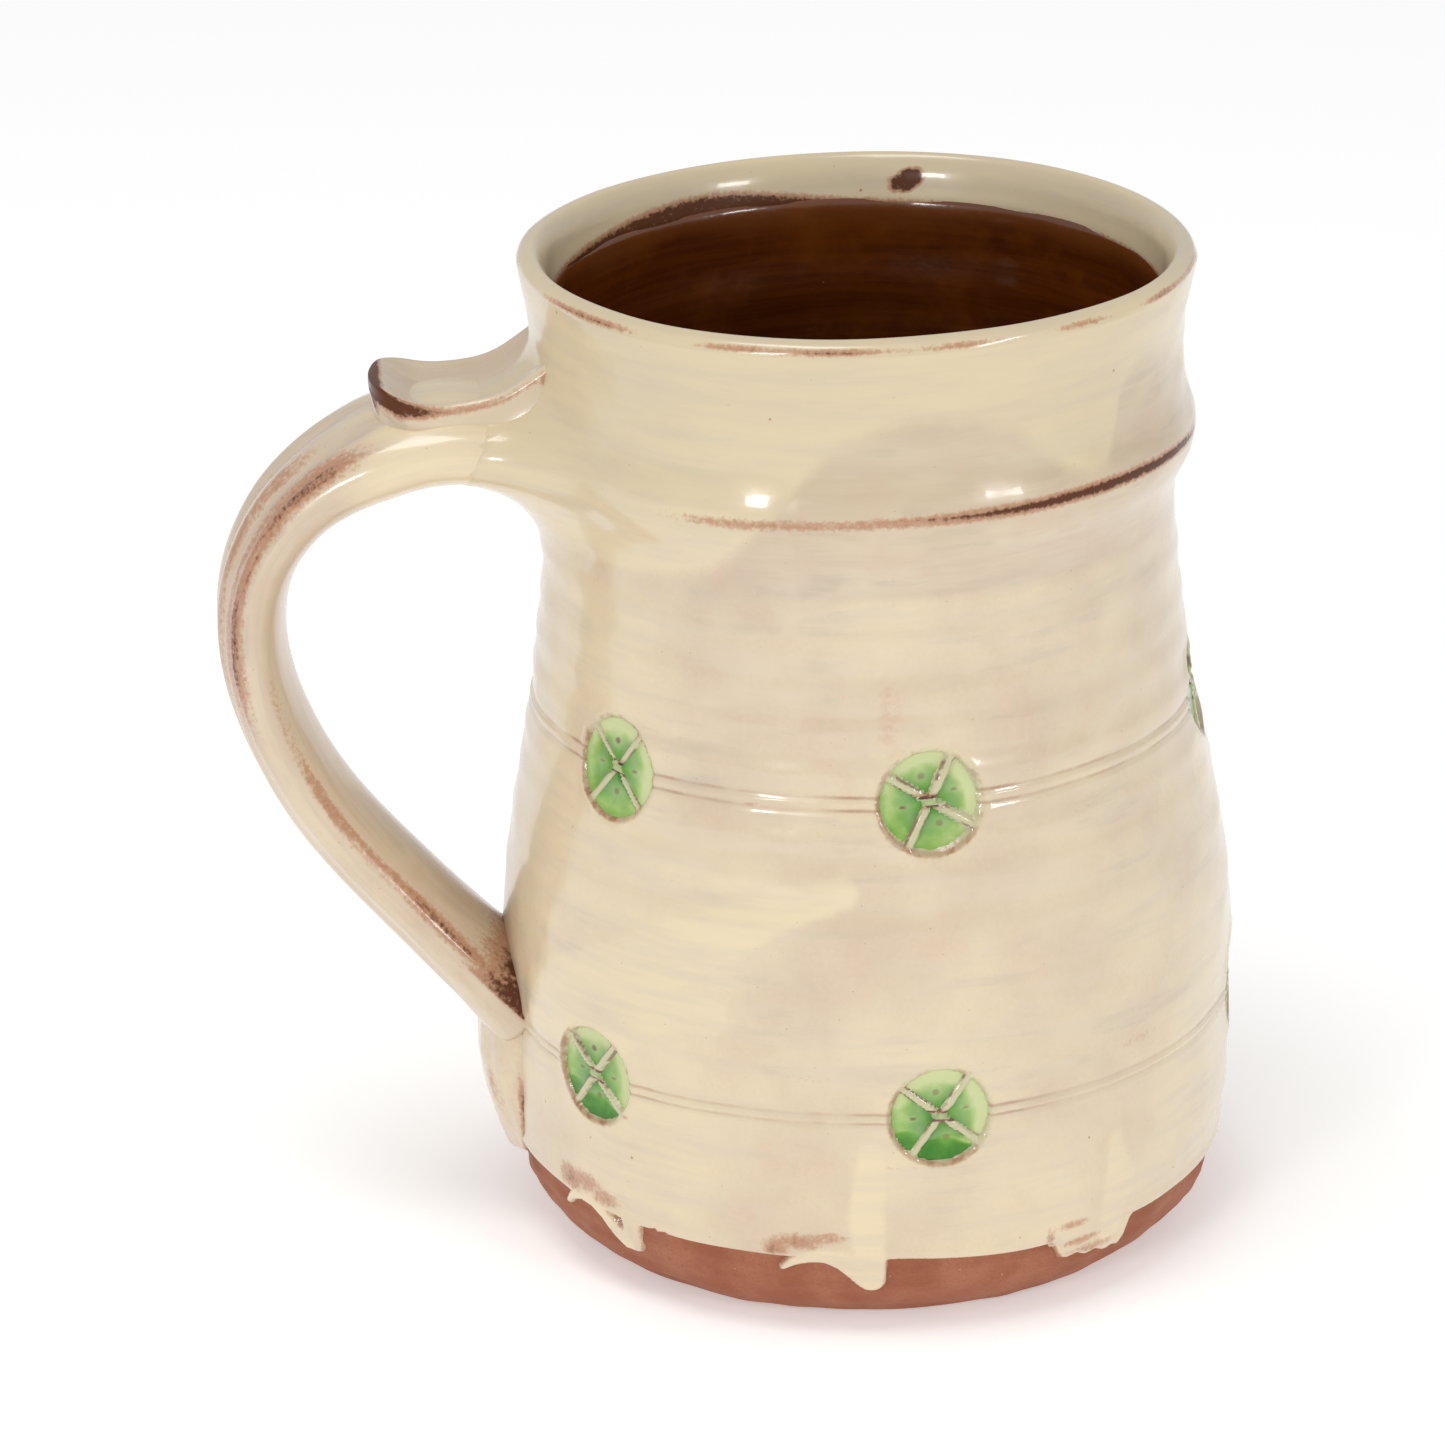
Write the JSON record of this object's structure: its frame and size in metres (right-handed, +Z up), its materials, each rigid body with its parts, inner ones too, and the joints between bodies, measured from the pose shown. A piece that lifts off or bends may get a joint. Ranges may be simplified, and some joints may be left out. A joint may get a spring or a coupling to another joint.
{
  "type": "stoneware mug",
  "caption": "Hand-thrown pottery mug with a flared rim, a collar ridge, a strap handle with a thumb rest, cream slip and green stamped roundels.",
  "frame": {"origin": "on the mug's axis, in the plane of the surface that it stands on", "axes": "+Z up along the mug's axis, the handle points along -X"},
  "size_m": [0.1294, 0.0948, 0.13],
  "materials": {
    "red_clay": "matt unglazed red clay",
    "cream_slip": "gloss clear glaze over cream slip",
    "brown_glaze": "gloss dark brown glaze",
    "green_glaze": "gloss copper green glaze"
  },
  "bodies": {
    "root": {"clay_body": "red_clay", "outer_slip_coat": "cream_slip", "inner_glaze_lining": "brown_glaze", "handle_strap": "cream_slip", "thumb_rest": "cream_slip", "handle_tail": "cream_slip", "roundel_lower_1": "green_glaze", "roundel_lower_2": "green_glaze", "roundel_lower_3": "green_glaze", "roundel_lower_4": "green_glaze", "roundel_lower_5": "green_glaze", "roundel_upper_1": "green_glaze", "roundel_upper_2": "green_glaze", "roundel_upper_3": "green_glaze", "roundel_upper_4": "green_glaze", "roundel_upper_5": "green_glaze"}
  },
  "joints": []
}
